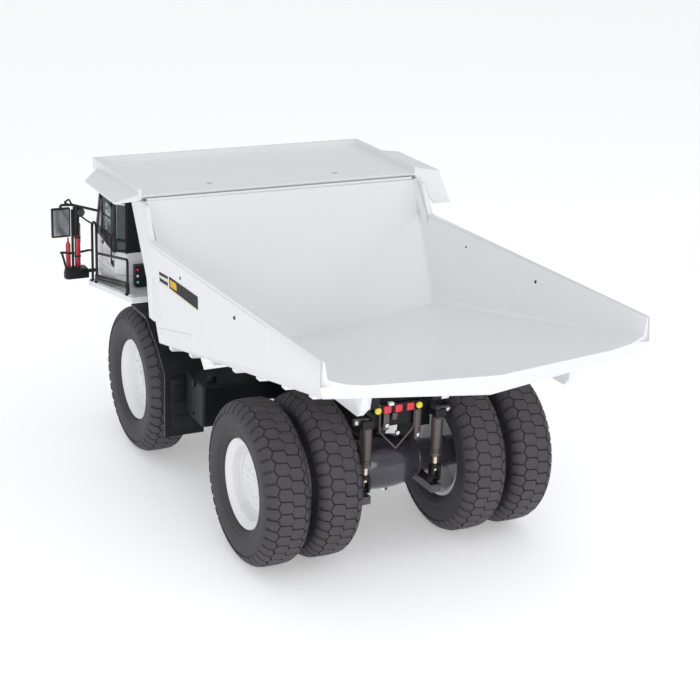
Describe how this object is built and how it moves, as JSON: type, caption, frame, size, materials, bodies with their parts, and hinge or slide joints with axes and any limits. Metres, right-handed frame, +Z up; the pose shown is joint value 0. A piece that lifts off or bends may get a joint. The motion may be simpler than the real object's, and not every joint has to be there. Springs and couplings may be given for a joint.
{
  "type": "scale model mining dump truck",
  "caption": "Small white scale model of a rigid-frame quarry dump truck with a tipping load bed, steered front wheels and twin rear wheels.",
  "frame": {"origin": "on the ground under the middle of the whole model", "axes": "+Z up, -Y forward so that the cab and bumper face -Y, +X to the truck's left where the cab is"},
  "size_m": [0.1368, 0.206, 0.1022],
  "materials": {
    "white_paint": "satin gloss",
    "black_plastic": "satin",
    "axle_paint": "gloss",
    "strut_metal": "dark satin",
    "rod_metal": "polished",
    "tyre_rubber": "matte",
    "cab_glass": "clear",
    "red_paint": "gloss",
    "lamp_red": "gloss"
  },
  "bodies": {
    "chassis": {"main_frame": "black_plastic", "engine_block": "axle_paint", "rear_axle": "axle_paint", "left_rear_strut": "strut_metal", "right_rear_strut": "strut_metal", "left_front_strut": "strut_metal", "right_front_strut": "strut_metal", "front_deck": "white_paint", "left_fender": "black_plastic", "right_fender": "black_plastic", "cab_shell": "white_paint", "cab_door": "white_paint", "cab_roof": "white_paint", "cab_seat": "black_plastic", "windscreen": "cab_glass", "door_glass": "cab_glass", "quarter_glass": "cab_glass", "right_cab_glass": "cab_glass", "rear_glass": "cab_glass", "front_bumper": "white_paint", "radiator_grille": "black_plastic", "left_ladder": "black_plastic", "right_ladder": "black_plastic", "left_mirror": "black_plastic", "right_mirror": "black_plastic", "left_handrail": "black_plastic", "right_handrail": "black_plastic", "corner_step": "black_plastic", "extinguishers": "red_paint", "service_box": "black_plastic", "air_cleaner_box": "white_paint", "fuel_tank": "black_plastic", "hydraulic_tank": "black_plastic", "rear_light_bar": "lamp_red"},
    "left_steering": {"left_knuckle": "axle_paint"},
    "right_steering": {"right_knuckle": "axle_paint"},
    "track_rod": {"tie_rod": "axle_paint"},
    "front_left_wheel": {"front_left_rim": "white_paint", "front_left_tyre": "tyre_rubber"},
    "front_right_wheel": {"front_right_rim": "white_paint", "front_right_tyre": "tyre_rubber"},
    "rear_left_wheels": {"rear_left_rims": "white_paint", "rear_left_inner_tyre": "tyre_rubber", "rear_left_outer_tyre": "tyre_rubber"},
    "rear_right_wheels": {"rear_right_rims": "white_paint", "rear_right_inner_tyre": "tyre_rubber", "rear_right_outer_tyre": "tyre_rubber"},
    "bed": {"load_bed": "white_paint", "canopy": "white_paint", "left_bed_beam": "white_paint", "right_bed_beam": "white_paint"},
    "left_hoist_tube": {"left_hoist_barrel": "axle_paint"},
    "right_hoist_tube": {"right_hoist_barrel": "axle_paint"},
    "left_hoist_piston": {"left_hoist_rod": "rod_metal"},
    "right_hoist_piston": {"right_hoist_rod": "rod_metal"}
  },
  "joints": [
    {"name": "steer_left", "type": "hinge", "parent": "chassis", "child": "left_steering", "pos_m": [0.033, -0.0642, 0.0266], "axis": [0, 0, 1], "range_deg": [-30, 30]},
    {"name": "steer_right", "type": "hinge", "parent": "chassis", "child": "right_steering", "pos_m": [-0.033, -0.0642, 0.0266], "axis": [0, 0, 1], "range_deg": [-30, 30]},
    {"name": "track_rod_slide", "type": "slide", "parent": "chassis", "child": "track_rod", "axis": [1, 0, 0], "range_m": [-0.0046, 0.0046]},
    {"name": "front_left_spin", "type": "hinge", "parent": "left_steering", "child": "front_left_wheel", "pos_m": [0.0439, -0.0642, 0.0266], "axis": [1, 0, 0], "continuous": true},
    {"name": "front_right_spin", "type": "hinge", "parent": "right_steering", "child": "front_right_wheel", "pos_m": [-0.0439, -0.0642, 0.0266], "axis": [1, 0, 0], "continuous": true},
    {"name": "rear_left_spin", "type": "hinge", "parent": "chassis", "child": "rear_left_wheels", "pos_m": [0.0346, 0.035, 0.0266], "axis": [1, 0, 0], "continuous": true},
    {"name": "rear_right_spin", "type": "hinge", "parent": "chassis", "child": "rear_right_wheels", "pos_m": [-0.0346, 0.035, 0.0266], "axis": [1, 0, 0], "continuous": true},
    {"name": "bed_tilt", "type": "hinge", "parent": "chassis", "child": "bed", "pos_m": [0, 0.047, 0.054], "axis": [-1, 0, 0], "range_deg": [0, 48]},
    {"name": "left_hoist_swing", "type": "hinge", "parent": "chassis", "child": "left_hoist_tube", "pos_m": [0.0153, 0.005, 0.024], "axis": [1, 0, 0], "range_deg": [-2.5, 0.5]},
    {"name": "right_hoist_swing", "type": "hinge", "parent": "chassis", "child": "right_hoist_tube", "pos_m": [-0.0153, 0.005, 0.024], "axis": [1, 0, 0], "range_deg": [-2.5, 0.5]},
    {"name": "left_hoist_stroke", "type": "slide", "parent": "left_hoist_tube", "child": "left_hoist_piston", "axis": [0, 0.363, 0.9318], "range_m": [0, 0.0245]},
    {"name": "right_hoist_stroke", "type": "slide", "parent": "right_hoist_tube", "child": "right_hoist_piston", "axis": [0, 0.363, 0.9318], "range_m": [0, 0.0245]}
  ],
  "couplings": [
    {"joint": "steer_right", "follows": "steer_left", "ratio": 1},
    {"joint": "track_rod_slide", "follows": "steer_left", "m_per_rad": -0.0085},
    {"joint": "left_hoist_swing", "follows": "bed_tilt", "ratio": -0.037532},
    {"joint": "right_hoist_swing", "follows": "bed_tilt", "ratio": -0.037532},
    {"joint": "left_hoist_stroke", "follows": "bed_tilt", "m_per_rad": 0.029095},
    {"joint": "right_hoist_stroke", "follows": "bed_tilt", "m_per_rad": 0.029095}
  ]
}
